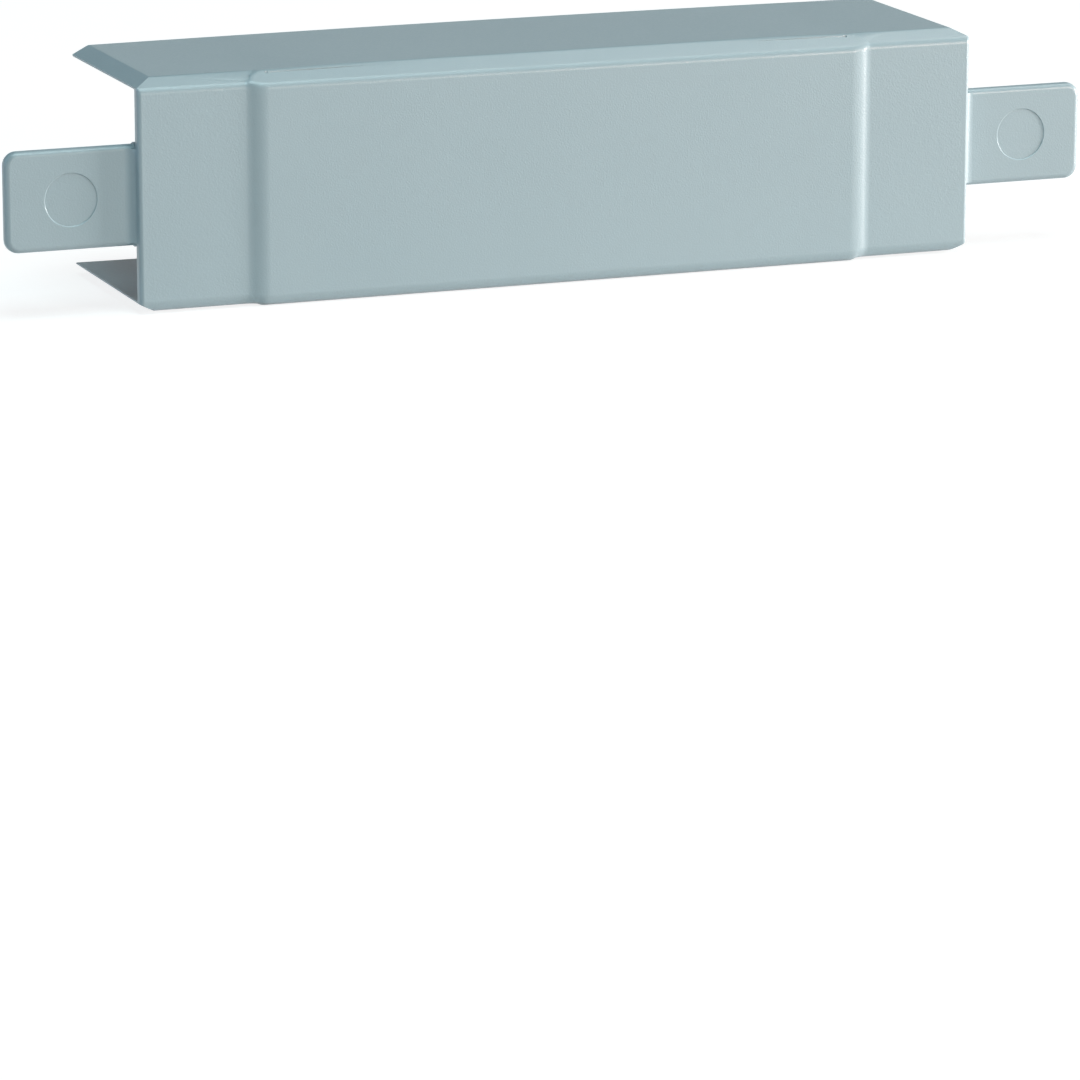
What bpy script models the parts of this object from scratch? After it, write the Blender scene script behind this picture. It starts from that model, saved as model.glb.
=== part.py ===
"""Hood of a surface trunking tee, moulded in one piece.

The hood snaps over the place where a branch leaves a square trunking run. X runs along the run, the front faces -Y,
the two flanges reach back to +Y and +Z is up. Lengths are in metres. The sections are drawn with y = 0 on the front
face of the low end sections and z = 0 on the underside of the bottom flange; the object's location then puts the
origin under the middle of the hood.
"""
from math import atan, cos, pi, radians, sin, sqrt, tan

import bmesh
import bpy
from mathutils import Matrix, Vector

MM = 0.001

# Trunking run that the hood covers
TRUNKING = 40.0 * MM
SIDE_PLAY = 0.1 * MM
WALL_GAP = 0.2 * MM

# Hood shell
LENGTH = 169.8 * MM
WALL = 2.0 * MM
HEIGHT = TRUNKING + 2 * SIDE_PLAY + 2 * WALL
DEPTH = TRUNKING + WALL - WALL_GAP
BAND_DEPTH = 3.1 * MM
BAND_DROP = 2.1 * MM
BAND_SLOPE = BAND_DROP / BAND_DEPTH
BAND_TOP_RADIUS = 1.5 * MM
BAND_FRONT_RADIUS = 1.8 * MM
BOTTOM_RADIUS = 2.4 * MM
INNER_RADIUS = 0.3 * MM
REAR_RADIUS = 0.4 * MM
END_RADIUS = 0.8 * MM
FLANGE_BOW = 0.35 * MM

# Chamfer across the flanges at both ends
END_CHAMFER_RUN = 3.3 * MM
END_CHAMFER_BLEND = 1.2 * MM
END_CHAMFER_LIFT = 0.02 * MM
END_LAND = 0.3 * MM

# Raised middle panel: its full rise on each side of the section. At its ends an arc runs into a hollow one,
# and on the band and the flanges it ends nearer the middle.
PANEL_LENGTH = 127.8 * MM
PANEL_RAISE = 0.85 * MM
PANEL_BAND_RAISE = 0.29 * MM
PANEL_TOP_RAISE = 0.24 * MM
PANEL_BOTTOM_RAISE = 0.36 * MM
PANEL_BAND_INSET = 2.1 * MM
PANEL_END_ANGLE = radians(21.4)
PANEL_HOLLOW_SHARE = 0.32
PANEL_FOOT = PANEL_LENGTH / 2
PANEL_LEVEL = PANEL_FOOT - PANEL_RAISE * sin(PANEL_END_ANGLE) / (1 - cos(PANEL_END_ANGLE))
RECESS_MARGIN = 1.5 * MM
RECESS_RADIUS = 2.0 * MM

# Fine line along the band, as long as the panel is level, with a small pit at each end
LINE_PLACE = 2.4 * MM
LINE_WIDTH = 0.35 * MM
LINE_DEPTH = 0.16 * MM
LINE_PIT = 0.6 * MM

# Break-out lines for the branch, scored inside both flanges
BRANCH_WIDTHS = (40.0 * MM, 60.0 * MM, 110.0 * MM)
SCORE_WIDTH = 1.0 * MM
SCORE_DEPTH = 1.1 * MM
SCORE_FRONT_GAP = 1.5 * MM

# Connecting tongue at each end
TONGUE_REACH = 25.1 * MM
TONGUE_HEIGHT = 19.1 * MM
TONGUE_THICKNESS = 2.0 * MM
TONGUE_SETBACK = 2.4 * MM
TONGUE_CORNER_RADIUS = 2.6 * MM
TONGUE_EDGE_RADIUS = 1.0 * MM
TONGUE_BACK_CHAMFER = 0.3 * MM
TONGUE_ROOT = 10.0 * MM
TONGUE_FLARE = 0.3 * MM
ROOT_FILLET_RUN = 2.0 * MM
ROOT_FILLET_MARGIN = 0.6 * MM
DISC_RADIUS = 5.15 * MM
DISC_DEPTH = 0.18 * MM
DISC_OFFSET = 12.45 * MM

# How far a cutter reaches past the material, and how far a joined solid reaches into it
CUT_MARGIN = 1.0 * MM
BURIED = 0.65 * WALL

LEVEL_STEPS = 16
RUN_OUT_STEPS = 20
SECTION_STEPS = 4
END_STEPS = 6
ARC_STEPS = 8
FINE_ARC_STEPS = 4
FINE_RADIUS = 0.5 * MM
DISC_SIDES = 72

HOOD_COLOUR = (0.40, 0.50, 0.55, 1.0)
HOOD_ROUGHNESS = 0.45


def rounded(corners):
    """Closed outline through corners (a, b, radius), with an arc in place of each corner that has a radius."""
    outline = []
    for index, (a, b, radius) in enumerate(corners):
        corner = Vector((a, b))
        if radius == 0:
            outline.append(corner)
            continue
        to_last = (Vector(corners[index - 1][:2]) - corner).normalized()
        to_next = (Vector(corners[(index + 1) % len(corners)][:2]) - corner).normalized()
        half_angle = to_last.angle(to_next) / 2
        centre = corner + (to_last + to_next).normalized() * radius / sin(half_angle)
        first = (corner + to_last * radius / tan(half_angle) - centre).normalized()
        last = (corner + to_next * radius / tan(half_angle) - centre).normalized()
        steps = FINE_ARC_STEPS if radius < FINE_RADIUS else ARC_STEPS
        for step in range(steps + 1):
            outline.append(centre + first.slerp(last, step / steps) * radius)
    return outline


def quarter(steps=ARC_STEPS):
    """Angles from 0 to a right angle in even steps."""
    return [pi / 2 * step / steps for step in range(steps + 1)]


def loft(bm, rings):
    """Add to bm one closed solid through rings of points, all with the same number of points."""
    loops = [[bm.verts.new(point) for point in ring] for ring in rings]
    faces = [bm.faces.new(loops[0]), bm.faces.new(loops[-1])]
    for near, far in zip(loops, loops[1:]):
        for index in range(len(near)):
            faces.append(bm.faces.new((near[index - 1], near[index], far[index], far[index - 1])))
    bmesh.ops.recalc_face_normals(bm, faces=faces)


def make_object(name, collection, solids):
    """Object in collection made of the given solids, each a list of rings."""
    bm = bmesh.new()
    for rings in solids:
        loft(bm, rings)
    mesh = bpy.data.meshes.new(name)
    bm.to_mesh(mesh)
    bm.free()
    item = bpy.data.objects.new(name, mesh)
    collection.objects.link(item)
    return item


def make_tool(name, solids):
    """Hidden object that is joined to the hood or cut from it."""
    tool = make_object(name, tools, solids)
    tool.parent = hood_frame
    tool.hide_render = True
    tool.display_type = "WIRE"
    return tool


def combine(target, tool, operation):
    """Join tool to target, or cut it away."""
    modifier = target.modifiers.new(tool.name, "BOOLEAN")
    modifier.operation = operation
    modifier.solver = "EXACT"
    modifier.object = tool


def across_x(outline, x):
    """Ring of a section outline (y, z) at x."""
    return [(x, y, z) for y, z in outline]


def prism_y(outline, low, high):
    """Rings of an outline (x, z) drawn out along y."""
    return [[(x, y, z) for x, z in outline] for y in (low, high)]


def flipped(rings):
    """The same solid at the bottom flange instead of the top one."""
    return [[(x, y, HEIGHT - z) for x, y, z in ring] for ring in rings]


def other_end(rings):
    """The same solid at the other end of the hood."""
    return [[(-x, y, z) for x, y, z in ring] for ring in rings]


def at_all_corners(rings):
    """The same solid at both ends of both flanges."""
    return [rings, flipped(rings), other_end(rings), flipped(other_end(rings))]


def spread(x, y):
    """How far the flanges stand out from square at x and y: most at the middle of their rear edges."""
    along = 1 - (2 * x / LENGTH) ** 2
    back = max(0.0, (y - WALL) / (DEPTH - WALL))
    return FLANGE_BOW * along * back


def run_out(x, foot, rise):
    """Share of a full rise that is left at x, with an arc at its shoulder and a hollow one that ends at foot."""
    arcs = rise / (1 - cos(PANEL_END_ANGLE))
    hollow = PANEL_HOLLOW_SHARE * arcs
    shoulder = arcs - hollow
    turn = foot - hollow * sin(PANEL_END_ANGLE)
    level = turn - shoulder * sin(PANEL_END_ANGLE)
    if abs(x) <= level:
        return 1.0
    if abs(x) >= foot:
        return 0.0
    if abs(x) <= turn:
        return 1.0 - (shoulder - sqrt(shoulder ** 2 - (abs(x) - level) ** 2)) / rise
    return (hollow - sqrt(hollow ** 2 - (foot - abs(x)) ** 2)) / rise


def band_height(y, raised=0.0):
    """Height of the slanted band above the front face at depth y, the band being raised square to its slope."""
    return HEIGHT - BAND_DROP + y * BAND_SLOPE + raised / cos(atan(BAND_SLOPE))


def band_depth(z, raised):
    """Depth at which the band, raised square to its slope, reaches height z."""
    return (z - band_height(0, raised)) / BAND_SLOPE


def hood_ring(x, setback=0.0):
    """U section of the hood at x, with its front set back where the ends are rounded."""
    front = setback - PANEL_RAISE * run_out(x, PANEL_FOOT, PANEL_RAISE)
    share = run_out(x, PANEL_FOOT - PANEL_BAND_INSET, PANEL_BAND_RAISE)
    band = PANEL_BAND_RAISE * share
    top = HEIGHT + PANEL_TOP_RAISE * share
    corners = [
        (DEPTH, HEIGHT, REAR_RADIUS),
        (band_depth(top, band), top, BAND_TOP_RADIUS),
        (front, band_height(front, band), BAND_FRONT_RADIUS),
        (front, -PANEL_BOTTOM_RAISE * share, BOTTOM_RADIUS),
        (DEPTH, 0, REAR_RADIUS),
        (DEPTH, WALL, REAR_RADIUS),
        (WALL, WALL, INNER_RADIUS),
        (WALL, HEIGHT - WALL, INNER_RADIUS),
        (DEPTH, HEIGHT - WALL, REAR_RADIUS),
    ]
    ring = []
    for y, z in rounded(corners):
        outward = 1 if z > HEIGHT / 2 else -1
        ring.append((x, y, z + outward * spread(x, y)))
    return ring


def evenly(first, last, steps):
    """Values after first, up to last, in even steps."""
    return [first + (last - first) * step / steps for step in range(1, steps + 1)]


def section_places():
    """Places along +X at which the hood's section is drawn, from its middle to where its end is rounded."""
    places = [0.0] + evenly(0.0, PANEL_LEVEL, LEVEL_STEPS // 2)
    places += evenly(PANEL_LEVEL, PANEL_FOOT, RUN_OUT_STEPS)
    return places + evenly(PANEL_FOOT, LENGTH / 2 - END_RADIUS, SECTION_STEPS)


def hood_rings():
    """Sections of the hood from end to end, its front wall rounded off at both ends."""
    half = [hood_ring(x) for x in section_places()]
    for angle in quarter(END_STEPS)[1:]:
        x = LENGTH / 2 - END_RADIUS * (1 - sin(angle))
        half.append(hood_ring(x, END_RADIUS * (1 - cos(angle))))
    return other_end(half)[:0:-1] + half


def panel_recess():
    """Pocket behind the raised panel that keeps its wall as thick as the rest."""
    x = PANEL_LEVEL
    low = WALL + RECESS_MARGIN
    high = HEIGHT - low
    outline = rounded([
        (-x, low, RECESS_RADIUS),
        (x, low, RECESS_RADIUS),
        (x, high, RECESS_RADIUS),
        (-x, high, RECESS_RADIUS),
    ])
    return prism_y(outline, WALL - PANEL_RAISE, WALL + CUT_MARGIN)


def end_chamfer():
    """Wedge that chamfers the top flange at the +X end down to a thin land, blended softly into the flange."""
    slope = (WALL - END_LAND) / END_CHAMFER_RUN
    angle = atan(slope)
    end = LENGTH / 2
    crease = end - END_CHAMFER_RUN
    tangent = END_CHAMFER_BLEND * tan(angle / 2)
    top = HEIGHT + END_CHAMFER_LIFT
    outline = []
    for turn in [0.0] + evenly(0.0, angle, END_STEPS):
        x = crease - tangent + END_CHAMFER_BLEND * sin(turn)
        outline.append((x, top - END_CHAMFER_BLEND * (1 - cos(turn))))
    outline.append((end + CUT_MARGIN, top - WALL + END_LAND - slope * CUT_MARGIN))
    outline.append((end + CUT_MARGIN, top + CUT_MARGIN))
    outline.append((crease - tangent, top + CUT_MARGIN))
    depths = (-CUT_MARGIN, WALL, DEPTH, DEPTH + CUT_MARGIN)
    return [[(x, y, z + spread(x, y)) for x, z in outline] for y in depths]


def band_line():
    """Fine V line along the band, with a wider pit at each end, cut square to the band's slope."""
    middle = Vector((LINE_PLACE, band_height(LINE_PLACE, PANEL_BAND_RAISE)))
    along = Vector((1, BAND_SLOPE)).normalized()
    outward = Vector((-along.y, along.x))
    rings = []
    for x, size in ((0, 2), (LINE_PIT, 2), (LINE_PIT * 1.2, 1)):
        half = along * LINE_WIDTH * size
        mouth = middle + outward * LINE_DEPTH * size
        rings.append(across_x([mouth - half, mouth + half, middle - outward * LINE_DEPTH * size], x - PANEL_LEVEL))
    return rings + other_end(rings)[::-1]


def score_section(middle, face):
    """Triangle of a score line centred on middle, cut upwards into an inner face at height face."""
    widening = SCORE_WIDTH / 2 * (1 + SCORE_FRONT_GAP / SCORE_DEPTH / 4)
    below = SCORE_FRONT_GAP / 4
    return [(middle - widening, face - below), (middle + widening, face - below), (middle, face + SCORE_DEPTH)]


def cross_score(x):
    """Score line across the top flange at x, following the flange's slant."""
    front = WALL + INNER_RADIUS
    back = DEPTH + CUT_MARGIN
    inner = HEIGHT - WALL
    return [[(a, y, z) for a, z in score_section(x, inner + spread(x, y))] for y in (front, back)]


def long_score():
    """Score line along the front of the top flange, as long as the widest branch."""
    x = max(BRANCH_WIDTHS) / 2
    y = WALL + SCORE_FRONT_GAP
    return [across_x(score_section(y, HEIGHT - WALL), end) for end in (-x, x)]


def tongue_outline(inset):
    """Outline (x, z) of the tongue at the +X end, drawn in by inset, with a flared root inside the hood."""
    middle = HEIGHT / 2
    end = LENGTH / 2
    tip = end + TONGUE_REACH - inset
    half = TONGUE_HEIGHT / 2 - inset
    root = half + TONGUE_FLARE
    corner = TONGUE_CORNER_RADIUS - inset
    flare = 0.98 * TONGUE_FLARE
    return rounded([
        (end - TONGUE_ROOT, middle - root, 0),
        (end, middle - root, 0),
        (end, middle - half, flare),
        (tip, middle - half, corner),
        (tip, middle + half, corner),
        (end, middle + half, flare),
        (end, middle + root, 0),
        (end - TONGUE_ROOT, middle + root, 0),
    ])


def tongue_rings():
    """Outlines of the tongue from its front face, with rounded edges, to its back face."""
    rings = []
    for angle in quarter():
        y = TONGUE_SETBACK + TONGUE_EDGE_RADIUS * (1 - cos(angle))
        inset = TONGUE_EDGE_RADIUS * (1 - sin(angle))
        rings.append([(x, y, z) for x, z in tongue_outline(inset)])
    back = TONGUE_SETBACK + TONGUE_THICKNESS
    for y, inset in ((back - TONGUE_BACK_CHAMFER, 0), (back, TONGUE_BACK_CHAMFER)):
        rings.append([(x, y, z) for x, z in tongue_outline(inset)])
    return rings


def root_fillet_rings():
    """Root of the +X tongue against the back of the front wall, and the hollow fillet in front of it."""
    end = LENGTH / 2
    start = END_RADIUS + 0.1 * MM
    outline = [(end - TONGUE_ROOT, BURIED), (end - END_RADIUS, BURIED), (end - END_RADIUS, start)]
    for angle in quarter():
        x = end + ROOT_FILLET_RUN * (1 - cos(angle))
        outline.append((x, start + (TONGUE_SETBACK - start) * sin(angle)))
    inside = TONGUE_SETBACK + TONGUE_THICKNESS / 4
    outline += [(end + ROOT_FILLET_RUN, inside), (end - TONGUE_ROOT, inside)]
    half = TONGUE_HEIGHT / 2 - ROOT_FILLET_MARGIN
    return [[(x, y, HEIGHT / 2 + side * half) for x, y in outline] for side in (-1, 1)]


def disc_tool(side):
    """Cone frustum that sinks the round recess into the front face of a tongue."""
    tool = make_tool(f"disc_cutter_{'right' if side > 0 else 'left'}", [])
    depth = DISC_DEPTH + CUT_MARGIN
    place = Matrix.Translation((side * (LENGTH / 2 + DISC_OFFSET), TONGUE_SETBACK + DISC_DEPTH - depth / 2, HEIGHT / 2))
    bm = bmesh.new()
    bmesh.ops.create_cone(
        bm,
        cap_ends=True,
        segments=DISC_SIDES,
        radius1=DISC_RADIUS + CUT_MARGIN,
        radius2=DISC_RADIUS - DISC_DEPTH,
        depth=depth,
        matrix=place @ Matrix.Rotation(-pi / 2, 4, "X"),
    )
    bm.to_mesh(tool.data)
    bm.free()
    return tool


def plastic():
    """Material of the hood: blue-grey satin plastic."""
    material = bpy.data.materials.new("grey_plastic")
    material.use_nodes = True
    shader = material.node_tree.nodes["Principled BSDF"]
    shader.inputs["Base Color"].default_value = HOOD_COLOUR
    shader.inputs["Roughness"].default_value = HOOD_ROUGHNESS
    shader.inputs["Metallic"].default_value = 0.0
    return material


for leftover in list(bpy.data.objects):
    bpy.data.objects.remove(leftover, do_unlink=True)

parts = bpy.data.collections.new("trunking_tee")
tools = bpy.data.collections.new("tools")
bpy.context.scene.collection.children.link(parts)
bpy.context.scene.collection.children.link(tools)

hood_frame = bpy.data.objects.new("hood_frame", None)
parts.objects.link(hood_frame)
lowest = max(spread(0, DEPTH - REAR_RADIUS), PANEL_BOTTOM_RAISE)
hood_frame.location = (0, (PANEL_RAISE - DEPTH) / 2, lowest)

hood = make_object("tee_hood", parts, [hood_rings()])
hood.parent = hood_frame
hood.data.materials.append(plastic())

combine(hood, make_tool("panel_recess", [panel_recess()]), "DIFFERENCE")
combine(hood, make_tool("end_chamfers", at_all_corners(end_chamfer())), "DIFFERENCE")
combine(hood, make_tool("band_line", [band_line()]), "DIFFERENCE")
for side, ending in ((-1, "left"), (1, "right")):
    tongue = tongue_rings() if side > 0 else other_end(tongue_rings())
    fillet = root_fillet_rings() if side > 0 else other_end(root_fillet_rings())
    combine(hood, make_tool(f"root_fillet_{ending}", [fillet]), "UNION")
    combine(hood, make_tool(f"tongue_{ending}", [tongue]), "UNION")
    combine(hood, disc_tool(side), "DIFFERENCE")
scores = []
for width in BRANCH_WIDTHS:
    scores += at_all_corners(cross_score(width / 2))
combine(hood, make_tool("cross_scores", scores), "DIFFERENCE")
combine(hood, make_tool("long_scores", [long_score(), flipped(long_score())]), "DIFFERENCE")
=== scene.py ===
from math import atan2, cos, pi, radians, sin, sqrt

import bmesh
import bpy
from mathutils import Matrix, Vector


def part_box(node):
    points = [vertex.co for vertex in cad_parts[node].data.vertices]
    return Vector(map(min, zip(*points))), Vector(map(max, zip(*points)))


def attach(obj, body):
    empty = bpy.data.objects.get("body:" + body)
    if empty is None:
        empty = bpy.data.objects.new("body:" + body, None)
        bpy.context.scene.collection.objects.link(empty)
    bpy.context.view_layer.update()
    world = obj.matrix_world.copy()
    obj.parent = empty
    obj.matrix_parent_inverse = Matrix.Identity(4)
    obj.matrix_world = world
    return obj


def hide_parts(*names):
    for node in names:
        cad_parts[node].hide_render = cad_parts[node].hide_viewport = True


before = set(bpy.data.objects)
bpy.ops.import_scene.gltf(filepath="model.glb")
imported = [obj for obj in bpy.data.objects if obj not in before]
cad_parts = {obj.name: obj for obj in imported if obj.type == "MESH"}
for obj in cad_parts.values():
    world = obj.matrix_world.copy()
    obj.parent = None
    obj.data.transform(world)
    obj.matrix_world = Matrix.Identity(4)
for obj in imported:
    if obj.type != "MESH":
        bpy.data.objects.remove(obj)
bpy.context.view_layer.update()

# Hood as modelled, in metres: heights are above BASE and depths behind FRONT, the front of its end sections
BASE = 0.00036
FRONT = -0.020475
HEIGHT = 0.0442
BAND_DEPTH = 0.0031
BAND_DROP = 0.0021
PANEL_FOOT = 0.0639
PANEL_BAND_INSET = 0.0021
PANEL_BAND_RAISE = 0.00029
PANEL_TOP_RAISE = 0.00024
PANEL_END_ANGLE = radians(21.4)
PANEL_HOLLOW_SHARE = 0.32

# What the moulding changes: on the band the panel's end turns inwards on an arch, and its top rises slowly.
# Points of the band follow the top from a share of the band's width, and fully after a further share of it
ARCH_RADIUS = 0.0041
TOP_RISE_END = 0.061
TOP_RISE_RUN = 0.017
TOP_SHARE_START = 0.27
TOP_SHARE_RUN = 0.6

# Where the moulding changes the hood, and how finely long edges are cut near the panel's ends
ZONE_LENGTH = 0.067
ZONE_DEPTH = 0.0046
ZONE_BOTTOM = 0.0405
SKIN_THICKNESS = 0.00075
CUTS_START = 0.058
LONG_EDGE = 0.0008
CUTS = 4

# Left pit of the fine line along the band: the photograph shows only the right one
PIT_START = 0.0585
PIT_NEAR = 0.0019
PIT_FAR = 0.0029

# Distances under which points are one point, and under which a point hasn't moved
WELD = 0.000001
STILL = 0.0000001

# Folds from which edges look sharp, with a small one around the flat faces of the tongues
SHARP_ANGLE = radians(28.0)
TONGUE_SHARP_ANGLE = radians(1.0)
TONGUE_START = 0.0855
SQUARE_TO_Y = 0.99999

# Plastic: linear colours, gloss, and noise with scales per metre
PLASTIC = (0.385, 0.495, 0.54)
PLASTIC_SHADE = (0.37, 0.48, 0.525)
PLASTIC_IOR = 1.5
PLASTIC_SPECULAR = 0.8
PATCH_SCALE = 35.0
PATCH_DETAIL = 2.0
PATCH_SHARES = (0.3, 1.0)
SHEEN_SCALE = 1800.0
SHEEN_ROUGHNESSES = (0.31, 0.38)
GRAIN_SCALE = 3000.0
GRAIN_STRENGTH = 0.6
GRAIN_DEPTH = 0.00006
FINE_DETAIL = 3.0
NOISE_LOW = 0.3
NOISE_HIGH = 0.7

# Floor and backdrop: both look white, but the hood only gets a pale floor's bounce and a little ambient light
WHITE = (1.0, 1.0, 1.0)
FLOOR_REACH = 6.0
FLOOR_COLOUR = (0.70, 0.70, 0.70)
FLOOR_SHADOW_COLOUR = (0.35, 0.35, 0.35)
FLOOR_GLOW = 0.82
BACKDROP_TOP = radians(5.5)
ROOM_START = radians(13.0)
ROOM_GREY = 0.2
AMBIENT = 0.02

# Softboxes: name, azimuth from the front towards +X, elevation, distance, width, height, colour and strength.
# The strength is the brightness of a white card held square to the light
WARM = (1.0, 0.92, 0.88)
AMBER = (1.0, 0.80, 0.70)
COOL = (0.74, 1.0, 1.04)
SKY = (0.78, 1.0, 1.25)
LAMPS = (
    ("key_strip", radians(77.0), radians(2.6), 1.8, 0.50, 0.16, WARM, 1.22),
    ("front_fill", radians(32.0), radians(10.0), 1.8, 0.50, 0.30, AMBER, 0.305),
    ("top_light", radians(0.0), radians(68.0), 1.5, 0.80, 0.80, COOL, 0.50),
    ("side_top", radians(90.0), radians(60.0), 1.5, 0.60, 0.60, WARM, 0.17),
    ("left_fill", radians(-95.0), radians(15.0), 1.8, 0.60, 0.40, SKY, 0.115),
)

# Camera: how it is turned, where it stands from the middle of the hood's lower front edge, and its lens and
# sensor in millimetres
CAMERA_YAW = radians(21.088)
CAMERA_PITCH = radians(14.155)
CAMERA_ROLL = radians(0.083)
FRONT_EDGE = Vector((0.0, FRONT, BASE))
CAMERA_OFFSET = Vector((-0.404356, -1.035813, 0.229346))
CAMERA_LENS = 197.125
SENSOR_WIDTH = 36.0
NEAREST_SEEN = 0.05
FARTHEST_SEEN = 20.0


def new_material(name):
    """Empty node material with its output node."""
    material = bpy.data.materials.new(name)
    material.use_nodes = True
    tree = material.node_tree
    tree.nodes.clear()
    return material, tree, tree.nodes.new("ShaderNodeOutputMaterial")


def add(tree, kind, **values):
    """New node in tree; values name its inputs, with _ for a space."""
    node = tree.nodes.new(kind)
    for name, value in values.items():
        node.inputs[name.replace("_", " ")].default_value = value
    return node


def noise(tree, coordinates, scale, detail):
    """Noise at scale per metre."""
    node = add(tree, "ShaderNodeTexNoise", Scale=scale, Detail=detail)
    tree.links.new(coordinates, node.inputs["Vector"])
    return node.outputs["Fac"]


def remap(tree, value, low, high):
    """Usual range of a noise value spread over low to high."""
    node = tree.nodes.new("ShaderNodeMapRange")
    node.inputs["From Min"].default_value = NOISE_LOW
    node.inputs["From Max"].default_value = NOISE_HIGH
    node.inputs["To Min"].default_value = low
    node.inputs["To Max"].default_value = high
    tree.links.new(value, node.inputs["Value"])
    return node.outputs["Result"]


def plastic_material():
    """Satin moulded plastic with faint patches, an uneven sheen and a fine spark-eroded grain."""
    material, tree, output = new_material("hood_satin_plastic")
    links = tree.links
    shader = add(tree, "ShaderNodeBsdfPrincipled", IOR=PLASTIC_IOR, Specular_IOR_Level=PLASTIC_SPECULAR)
    position = tree.nodes.new("ShaderNodeTexCoord").outputs["Object"]

    patches = tree.nodes.new("ShaderNodeMix")
    patches.data_type = "RGBA"
    patches.inputs["A"].default_value = (*PLASTIC_SHADE, 1.0)
    patches.inputs["B"].default_value = (*PLASTIC, 1.0)
    patch_noise = noise(tree, position, PATCH_SCALE, PATCH_DETAIL)
    links.new(remap(tree, patch_noise, *PATCH_SHARES), patches.inputs["Factor"])
    links.new(patches.outputs["Result"], shader.inputs["Base Color"])

    sheen_noise = noise(tree, position, SHEEN_SCALE, FINE_DETAIL)
    links.new(remap(tree, sheen_noise, *SHEEN_ROUGHNESSES), shader.inputs["Roughness"])

    grain = add(tree, "ShaderNodeBump", Strength=GRAIN_STRENGTH, Distance=GRAIN_DEPTH)
    links.new(noise(tree, position, GRAIN_SCALE, FINE_DETAIL), grain.inputs["Height"])
    links.new(grain.outputs["Normal"], shader.inputs["Normal"])
    links.new(shader.outputs["BSDF"], output.inputs["Surface"])
    return material


def seen_directly(tree):
    """1 for camera, glossy and transmission rays, 0 for the rays that carry light on the object."""
    path = tree.nodes.new("ShaderNodeLightPath")
    total = path.outputs["Is Camera Ray"]
    for name in ("Is Glossy Ray", "Is Transmission Ray"):
        larger = tree.nodes.new("ShaderNodeMath")
        larger.operation = "MAXIMUM"
        tree.links.new(total, larger.inputs[0])
        tree.links.new(path.outputs[name], larger.inputs[1])
        total = larger.outputs["Value"]
    return total


def floor_material():
    """Pale floor that looks white and keeps a light shadow."""
    material, tree, output = new_material("floor_white")
    links = tree.links
    plain = add(tree, "ShaderNodeBsdfDiffuse", Color=(*FLOOR_COLOUR, 1.0))
    shadow = add(tree, "ShaderNodeBsdfDiffuse", Color=(*FLOOR_SHADOW_COLOUR, 1.0))
    glow = add(tree, "ShaderNodeEmission", Color=(*WHITE, 1.0), Strength=FLOOR_GLOW)
    seen = tree.nodes.new("ShaderNodeAddShader")
    links.new(shadow.outputs[0], seen.inputs[0])
    links.new(glow.outputs[0], seen.inputs[1])
    mix = tree.nodes.new("ShaderNodeMixShader")
    links.new(seen_directly(tree), mix.inputs["Fac"])
    links.new(plain.outputs[0], mix.inputs[1])
    links.new(seen.outputs[0], mix.inputs[2])
    links.new(mix.outputs[0], output.inputs["Surface"])
    return material


def backdrop_strength(tree):
    """Full up to BACKDROP_TOP above the horizon, then a soft change to the grey of a dim room."""
    direction = tree.nodes.new("ShaderNodeTexCoord").outputs["Generated"]
    parts = tree.nodes.new("ShaderNodeSeparateXYZ")
    tree.links.new(direction, parts.inputs["Vector"])
    fade = tree.nodes.new("ShaderNodeMapRange")
    fade.interpolation_type = "SMOOTHSTEP"
    fade.inputs["From Min"].default_value = sin(BACKDROP_TOP)
    fade.inputs["From Max"].default_value = sin(ROOM_START)
    fade.inputs["To Min"].default_value = 1.0
    fade.inputs["To Max"].default_value = ROOM_GREY
    tree.links.new(parts.outputs["Z"], fade.inputs["Value"])
    return fade.outputs["Result"]


def make_world():
    """Soft ambient light, with the backdrop where the world itself is seen."""
    world = bpy.data.worlds.new("studio")
    bpy.context.scene.world = world
    world.use_nodes = True
    tree = world.node_tree
    tree.nodes.clear()
    output = tree.nodes.new("ShaderNodeOutputWorld")
    light = add(tree, "ShaderNodeBackground", Color=(*WHITE, 1.0), Strength=AMBIENT)
    backdrop = add(tree, "ShaderNodeBackground", Color=(*WHITE, 1.0))
    tree.links.new(backdrop_strength(tree), backdrop.inputs["Strength"])
    mix = tree.nodes.new("ShaderNodeMixShader")
    tree.links.new(seen_directly(tree), mix.inputs["Fac"])
    tree.links.new(light.outputs[0], mix.inputs[1])
    tree.links.new(backdrop.outputs[0], mix.inputs[2])
    tree.links.new(mix.outputs[0], output.inputs["Surface"])


def area_light(name, azimuth, elevation, distance, width, height, colour, strength):
    """Softbox that faces the middle of the hood."""
    low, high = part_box("tee_hood")
    target = (low + high) / 2
    toward = Vector((sin(azimuth) * cos(elevation), -cos(azimuth) * cos(elevation), sin(elevation)))
    data = bpy.data.lights.new(name, "AREA")
    data.shape = "RECTANGLE"
    data.size = width
    data.size_y = height
    data.color = colour
    data.energy = strength * pi ** 2 * distance ** 2
    light = bpy.data.objects.new(name, data)
    light.location = target + toward * distance
    light.rotation_mode = "QUATERNION"
    light.rotation_quaternion = (-toward).to_track_quat("-Z", "Y")
    bpy.context.scene.collection.objects.link(light)


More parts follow.
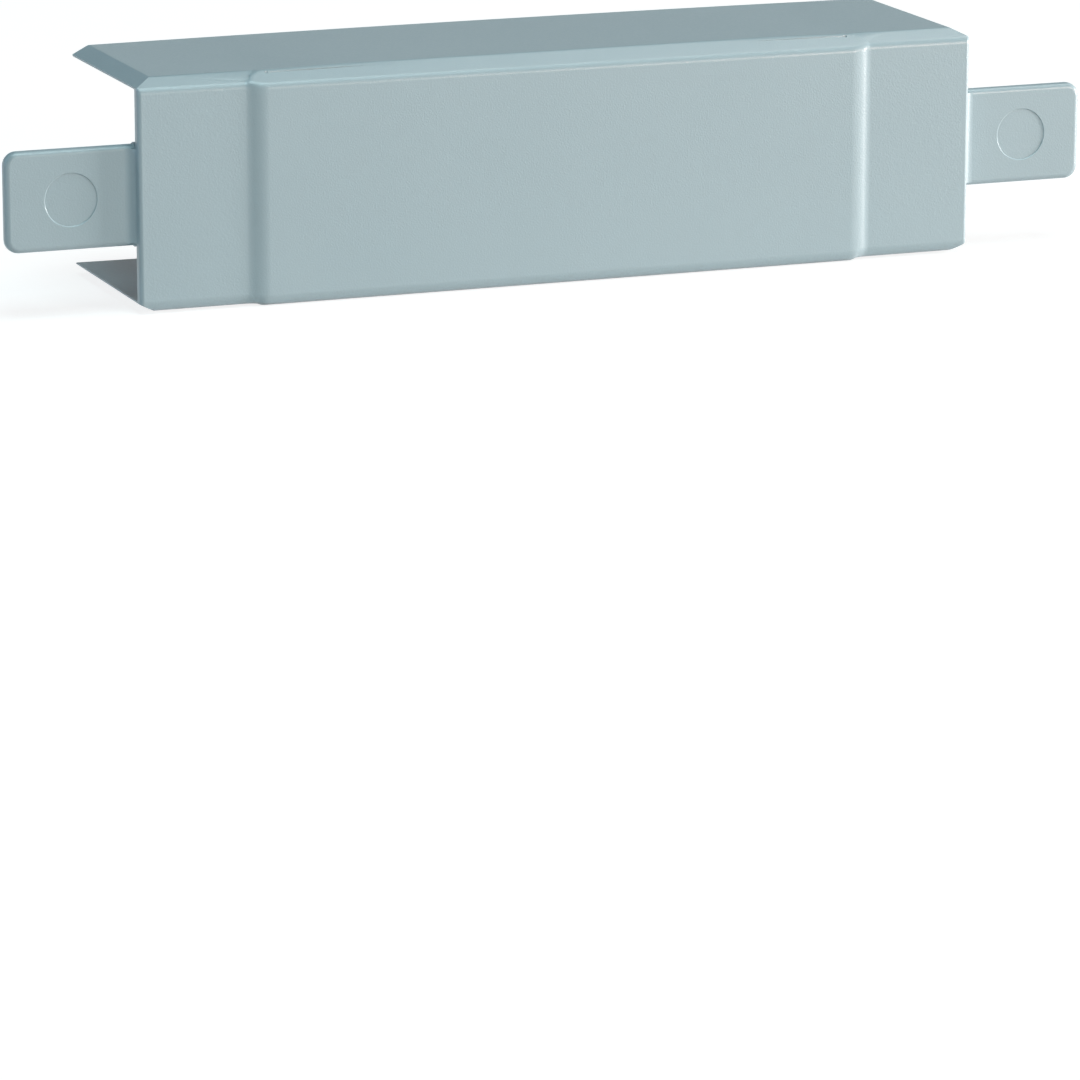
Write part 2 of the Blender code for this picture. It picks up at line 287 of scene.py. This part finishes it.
def make_camera():
    """Camera that sees the hood as the photograph does."""
    right = Vector((cos(CAMERA_YAW), -sin(CAMERA_YAW), 0.0))
    forward = Vector((
        sin(CAMERA_YAW) * cos(CAMERA_PITCH),
        cos(CAMERA_YAW) * cos(CAMERA_PITCH),
        -sin(CAMERA_PITCH),
    ))
    up = right.cross(forward)
    turned = right * cos(CAMERA_ROLL) + up * sin(CAMERA_ROLL)
    upright = up * cos(CAMERA_ROLL) - right * sin(CAMERA_ROLL)
    axes = Matrix((turned, upright, -forward)).transposed()
    data = bpy.data.cameras.new("photo_camera")
    data.lens = CAMERA_LENS
    data.sensor_width = SENSOR_WIDTH
    data.clip_start = NEAREST_SEEN
    data.clip_end = FARTHEST_SEEN
    camera = bpy.data.objects.new("photo_camera", data)
    camera.matrix_world = Matrix.Translation(FRONT_EDGE + CAMERA_OFFSET) @ axes.to_4x4()
    bpy.context.scene.collection.objects.link(camera)
    bpy.context.scene.camera = camera


def run_out(x, foot, rise):
    """Share of a rise that is left at x, past an arc at its shoulder and a hollow one that ends at foot."""
    arcs = rise / (1 - cos(PANEL_END_ANGLE))
    hollow = PANEL_HOLLOW_SHARE * arcs
    shoulder = arcs - hollow
    turn = foot - hollow * sin(PANEL_END_ANGLE)
    level = turn - shoulder * sin(PANEL_END_ANGLE)
    if abs(x) <= level:
        return 1.0
    if abs(x) >= foot:
        return 0.0
    if abs(x) <= turn:
        return 1.0 - (shoulder - sqrt(shoulder ** 2 - (abs(x) - level) ** 2)) / rise
    return (hollow - sqrt(hollow ** 2 - (foot - abs(x)) ** 2)) / rise


def limited(share):
    """Share kept between 0 and 1."""
    return min(1.0, max(0.0, share))


def slow_rise(x):
    """Share of the top's rise at x: none at the panel's end, full well inside it."""
    share = limited((TOP_RISE_END - abs(x)) / TOP_RISE_RUN)
    return share * share * (3 - 2 * share)


def band_place(point):
    """How far a point is along the slanted band from its lower edge, and how far off its unraised plane."""
    slant = atan2(BAND_DROP, BAND_DEPTH)
    depth = point.y - FRONT
    height = point.z - BASE - HEIGHT + BAND_DROP
    return depth * cos(slant) + height * sin(slant), height * cos(slant) - depth * sin(slant)


def on_band(point):
    """Whether a point is on the outer skin of the band or of the edges that round it off, along the panel."""
    outer = band_place(point)[1] > -SKIN_THICKNESS
    inside = abs(point.x) < ZONE_LENGTH and point.y - FRONT < ZONE_DEPTH
    return outer and inside and point.z - BASE > ZONE_BOTTOM


def fill_left_pit(point):
    """Lift a point at the bottom of the left pit up to the band's plane."""
    off_plane = band_place(point)[1]
    if point.x < -PIT_START and off_plane < 0.0 and PIT_NEAR < point.y - FRONT < PIT_FAR:
        point.z -= off_plane


def reshape_band(point):
    """Move a point of the band so that the panel ends on an arch there, with a slow rise on the top."""
    slant = atan2(BAND_DROP, BAND_DEPTH)
    width = BAND_DROP / sin(slant)
    along = min(width, max(0.0, band_place(point)[0]))
    inset = ARCH_RADIUS - sqrt(ARCH_RADIUS ** 2 - along ** 2)
    before = run_out(point.x, PANEL_FOOT - PANEL_BAND_INSET, PANEL_BAND_RAISE)
    outward = PANEL_BAND_RAISE * (run_out(point.x, PANEL_FOOT - inset, PANEL_BAND_RAISE) - before)
    upward = PANEL_TOP_RAISE * (slow_rise(point.x) - before)
    low_edge = Vector((0.0, 0.0, outward / cos(slant)))
    high_edge = Vector((0.0, (cos(slant) * upward - outward) / sin(slant), upward))
    point += low_edge.lerp(high_edge, limited((along / width - TOP_SHARE_START) / TOP_SHARE_RUN))


def cut_band(bm):
    """Cut the band's long edges near the panel's ends, so that it can bend there."""
    long_edges = [
        edge for edge in bm.edges
        if edge.calc_length() > LONG_EDGE
        and all(on_band(end.co) and abs(end.co.x) > CUTS_START for end in edge.verts)
    ]
    bmesh.ops.subdivide_edges(bm, edges=long_edges, cuts=CUTS)


def bend_band(bm):
    """Reshape the band and cut the faces that this bends into triangles."""
    bent = set()
    for vert in bm.verts:
        if on_band(vert.co):
            before = vert.co.copy()
            fill_left_pit(vert.co)
            reshape_band(vert.co)
            if (vert.co - before).length > STILL:
                bent.update(vert.link_faces)
    faces = [face for face in bm.faces if face in bent]
    bmesh.ops.triangulate(bm, faces=faces, ngon_method="BEAUTY")


def sharp_limit(edge):
    """Fold from which an edge looks sharp."""
    on_tongue = all(abs(end.co.x) > TONGUE_START for end in edge.verts)
    beside_flat = any(abs(face.normal.y) > SQUARE_TO_Y for face in edge.link_faces)
    return TONGUE_SHARP_ANGLE if on_tongue and beside_flat else SHARP_ANGLE


def shade(bm):
    """Smooth shading, with sharp edges where the surface folds."""
    for face in bm.faces:
        face.smooth = True
    bm.normal_update()
    for edge in bm.edges:
        edge.smooth = edge.calc_face_angle(0.0) < sharp_limit(edge)


def make_moulding(solid, material):
    """The hood as it is seen: its solid with the band reshaped and with smooth rounded edges."""
    bm = bmesh.new()
    bm.from_mesh(solid.data)
    bmesh.ops.remove_doubles(bm, verts=bm.verts, dist=WELD)
    cut_band(bm)
    bend_band(bm)
    shade(bm)
    mesh = bpy.data.meshes.new("hood_moulding")
    bm.to_mesh(mesh)
    bm.free()
    mesh.materials.append(material)
    moulding = bpy.data.objects.new("hood_moulding", mesh)
    bpy.context.scene.collection.objects.link(moulding)
    weighted = moulding.modifiers.new("weighted_normals", "WEIGHTED_NORMAL")
    weighted.keep_sharp = True
    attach(moulding, "root")
    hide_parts("tee_hood")


def make_floor():
    """Floor under the hood, wide enough to fill the view."""
    bm = bmesh.new()
    bmesh.ops.create_grid(bm, x_segments=1, y_segments=1, size=FLOOR_REACH)
    mesh = bpy.data.meshes.new("floor")
    bm.to_mesh(mesh)
    bm.free()
    mesh.materials.append(floor_material())
    floor = bpy.data.objects.new("floor", mesh)
    bpy.context.scene.collection.objects.link(floor)


for name in ("Cube", "Light", "Camera"):
    if name in bpy.data.objects:
        bpy.data.objects.remove(bpy.data.objects[name], do_unlink=True)

make_moulding(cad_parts["tee_hood"], plastic_material())
make_floor()
make_world()
for lamp in LAMPS:
    area_light(*lamp)
make_camera()
bpy.context.scene.view_settings.view_transform = "Standard"
